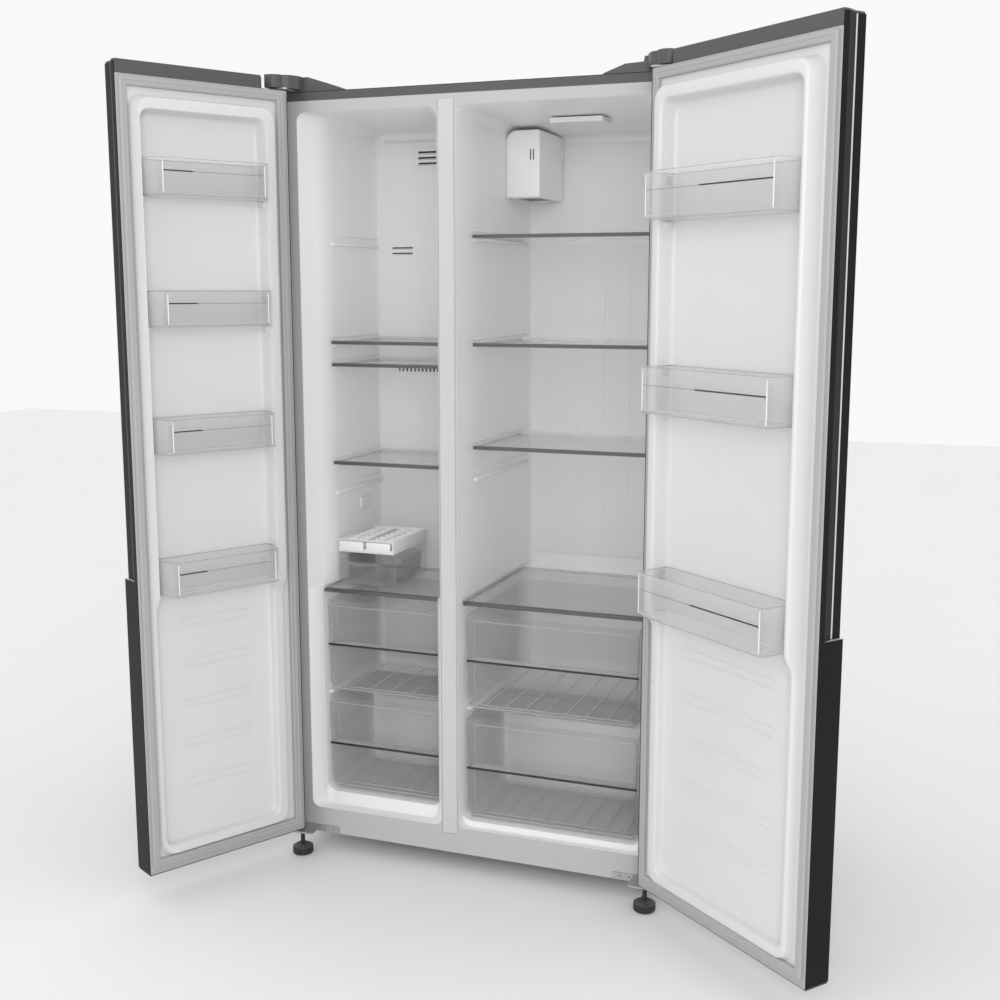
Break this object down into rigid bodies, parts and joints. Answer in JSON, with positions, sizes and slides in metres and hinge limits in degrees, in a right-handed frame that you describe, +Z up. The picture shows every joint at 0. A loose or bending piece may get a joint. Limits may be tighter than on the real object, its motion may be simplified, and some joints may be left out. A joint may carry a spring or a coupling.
{
  "type": "side by side refrigerator",
  "caption": "Side by side refrigerator with its doors open, showing glass shelves, clear drawers, door bins, a twist ice maker and a machine bay at the back.",
  "frame": {"origin": "middle of the whole footprint on the floor, with the doors as they stand open", "axes": "+Z up, the doors and drawers face -Y, the freezer is on the -X side"},
  "size_m": [1.4746, 0.9544, 1.7756],
  "materials": {
    "black_steel": "satin",
    "grey_steel": "satin",
    "band_grey": "satin",
    "zinc": "satin",
    "liner_white": "satin",
    "cover_grey": "satin",
    "dark_plastic": "matt",
    "mid_plastic": "matt",
    "gasket_grey": "matt",
    "black_rubber": "matt",
    "foam": "matt",
    "shelf_glass": "clear",
    "clear_plastic": "clear",
    "white_plastic": "satin",
    "coil_metal": "satin",
    "copper_paint": "satin",
    "lamp_plastic": "frosted"
  },
  "bodies": {
    "cabinet": {"cabinet_shell": "black_steel", "front_frame": "grey_steel", "top_band": "band_grey", "mullion_cover": "cover_grey", "insulation": "foam", "freezer_liner": "liner_white", "fridge_liner": "liner_white", "back_panel": "grey_steel", "base_pan": "zinc", "machine_cover": "dark_plastic", "compressor": "dark_plastic", "compressor_mounts": "black_rubber", "condenser": "copper_paint", "fan_motors": "mid_plastic", "evaporator": "coil_metal", "cord_gland": "dark_plastic", "freezer_duct_cover": "cover_grey", "fridge_back_cover": "cover_grey", "damper_housing": "white_plastic", "lamp_covers": "lamp_plastic", "hinges": "zinc", "hinge_covers": "mid_plastic", "cover_shelves": "shelf_glass", "ice_frame": "white_plastic"},
    "left_door": {"left_door_skin": "black_steel", "left_door_foam": "foam", "left_door_liner": "liner_white", "left_gasket": "gasket_grey", "left_door_caps": "mid_plastic"},
    "right_door": {"right_door_skin": "black_steel", "right_door_foam": "foam", "right_door_liner": "liner_white", "right_gasket": "gasket_grey", "right_door_caps": "mid_plastic"},
    "condenser_fan_body": {"condenser_fan": "mid_plastic"},
    "evaporator_fan_body": {"evaporator_fan": "white_plastic"},
    "ice_tray_left_body": {"ice_tray_left": "white_plastic"},
    "ice_tray_right_body": {"ice_tray_right": "white_plastic"},
    "ice_box_body": {"ice_box": "clear_plastic"},
    "freezer_shelf_top_body": {"freezer_shelf_top": "shelf_glass"},
    "freezer_shelf_middle_body": {"freezer_shelf_middle": "shelf_glass"},
    "freezer_shelf_bottom_body": {"freezer_shelf_bottom": "shelf_glass"},
    "fridge_shelf_top_body": {"fridge_shelf_top": "shelf_glass"},
    "fridge_shelf_middle_body": {"fridge_shelf_middle": "shelf_glass"},
    "fridge_shelf_bottom_body": {"fridge_shelf_bottom": "shelf_glass"},
    "freezer_drawer_upper_body": {"freezer_drawer_upper": "clear_plastic"},
    "freezer_drawer_lower_body": {"freezer_drawer_lower": "clear_plastic"},
    "fridge_drawer_upper_body": {"fridge_drawer_upper": "clear_plastic"},
    "fridge_drawer_lower_body": {"fridge_drawer_lower": "clear_plastic"},
    "left_bin_1_body": {"left_bin_1": "clear_plastic"},
    "left_bin_2_body": {"left_bin_2": "clear_plastic"},
    "left_bin_3_body": {"left_bin_3": "clear_plastic"},
    "left_bin_4_body": {"left_bin_4": "clear_plastic"},
    "right_bin_1_body": {"right_bin_1": "clear_plastic"},
    "right_bin_2_body": {"right_bin_2": "clear_plastic"},
    "right_bin_3_body": {"right_bin_3": "clear_plastic"},
    "left_foot_body": {"left_foot": "black_rubber"},
    "right_foot_body": {"right_foot": "black_rubber"},
    "rear_rollers_body": {"rear_rollers": "black_rubber"}
  },
  "joints": [
    {"name": "left_door_swing", "type": "hinge", "parent": "cabinet", "child": "left_door", "pos_m": [-0.53326, -0.12079, 0.9], "axis": [0, 0, -1], "range_deg": [-118.7, 26.3]},
    {"name": "right_door_swing", "type": "hinge", "parent": "cabinet", "child": "right_door", "pos_m": [0.33874, -0.12079, 0.9], "axis": [0, 0, 1], "range_deg": [-142, 3]},
    {"name": "freezer_drawer_upper_slide", "type": "slide", "parent": "cabinet", "child": "freezer_drawer_upper_body", "axis": [0, -1, 0], "range_m": [0, 0.26]},
    {"name": "freezer_drawer_lower_slide", "type": "slide", "parent": "cabinet", "child": "freezer_drawer_lower_body", "axis": [0, -1, 0], "range_m": [0, 0.21]},
    {"name": "fridge_drawer_upper_slide", "type": "slide", "parent": "cabinet", "child": "fridge_drawer_upper_body", "axis": [0, -1, 0], "range_m": [0, 0.36]},
    {"name": "fridge_drawer_lower_slide", "type": "slide", "parent": "cabinet", "child": "fridge_drawer_lower_body", "axis": [0, -1, 0], "range_m": [0, 0.23]},
    {"name": "freezer_shelf_top_slide", "type": "slide", "parent": "cabinet", "child": "freezer_shelf_top_body", "axis": [0, -1, 0], "range_m": [0, 0.24]},
    {"name": "fridge_shelf_top_slide", "type": "slide", "parent": "cabinet", "child": "fridge_shelf_top_body", "axis": [0, -1, 0], "range_m": [0, 0.31]},
    {"name": "freezer_shelf_middle_slide", "type": "slide", "parent": "cabinet", "child": "freezer_shelf_middle_body", "axis": [0, -1, 0], "range_m": [0, 0.24]},
    {"name": "fridge_shelf_middle_slide", "type": "slide", "parent": "cabinet", "child": "fridge_shelf_middle_body", "axis": [0, -1, 0], "range_m": [0, 0.31]},
    {"name": "freezer_shelf_bottom_slide", "type": "slide", "parent": "cabinet", "child": "freezer_shelf_bottom_body", "axis": [0, -1, 0], "range_m": [0, 0.24]},
    {"name": "fridge_shelf_bottom_slide", "type": "slide", "parent": "cabinet", "child": "fridge_shelf_bottom_body", "axis": [0, -1, 0], "range_m": [0, 0.31]},
    {"name": "left_bin_1_lift", "type": "slide", "parent": "left_door", "child": "left_bin_1_body", "axis": [0, 0, 1], "range_m": [0, 0.06]},
    {"name": "left_bin_2_lift", "type": "slide", "parent": "left_door", "child": "left_bin_2_body", "axis": [0, 0, 1], "range_m": [0, 0.06]},
    {"name": "left_bin_3_lift", "type": "slide", "parent": "left_door", "child": "left_bin_3_body", "axis": [0, 0, 1], "range_m": [0, 0.06]},
    {"name": "left_bin_4_lift", "type": "slide", "parent": "left_door", "child": "left_bin_4_body", "axis": [0, 0, 1], "range_m": [0, 0.06]},
    {"name": "right_bin_1_lift", "type": "slide", "parent": "right_door", "child": "right_bin_1_body", "axis": [0, 0, 1], "range_m": [0, 0.06]},
    {"name": "right_bin_2_lift", "type": "slide", "parent": "right_door", "child": "right_bin_2_body", "axis": [0, 0, 1], "range_m": [0, 0.06]},
    {"name": "right_bin_3_lift", "type": "slide", "parent": "right_door", "child": "right_bin_3_body", "axis": [0, 0, 1], "range_m": [0, 0.06]},
    {"name": "ice_tray_left_twist", "type": "hinge", "parent": "cabinet", "child": "ice_tray_left_body", "pos_m": [-0.43276, 0.10321, 0.724], "axis": [0, 1, 0], "range_deg": [0, 120], "stiffness_Nm_per_rad": 0.4},
    {"name": "ice_tray_right_twist", "type": "hinge", "parent": "cabinet", "child": "ice_tray_right_body", "pos_m": [-0.36376, 0.10321, 0.724], "axis": [0, 1, 0], "range_deg": [0, 120], "stiffness_Nm_per_rad": 0.4},
    {"name": "ice_box_slide", "type": "slide", "parent": "cabinet", "child": "ice_box_body", "axis": [0, -1, 0], "range_m": [0, 0.18]},
    {"name": "left_foot_turn", "type": "hinge", "parent": "cabinet", "child": "left_foot_body", "pos_m": [-0.51326, -0.11379, 0.03], "axis": [0, 0, 1], "continuous": true},
    {"name": "right_foot_turn", "type": "hinge", "parent": "cabinet", "child": "right_foot_body", "pos_m": [0.31874, -0.11379, 0.03], "axis": [0, 0, 1], "continuous": true},
    {"name": "rear_roller_spin", "type": "hinge", "parent": "cabinet", "child": "rear_rollers_body", "pos_m": [-0.09726, 0.42121, 0.02], "axis": [1, 0, 0], "continuous": true},
    {"name": "condenser_fan_spin", "type": "hinge", "parent": "cabinet", "child": "condenser_fan_body", "pos_m": [-0.07726, 0.36321, 0.155], "axis": [1, 0, 0], "continuous": true},
    {"name": "evaporator_fan_spin", "type": "hinge", "parent": "cabinet", "child": "evaporator_fan_body", "pos_m": [-0.33701, 0.30621, 1.58], "axis": [0, 1, 0], "continuous": true}
  ]
}
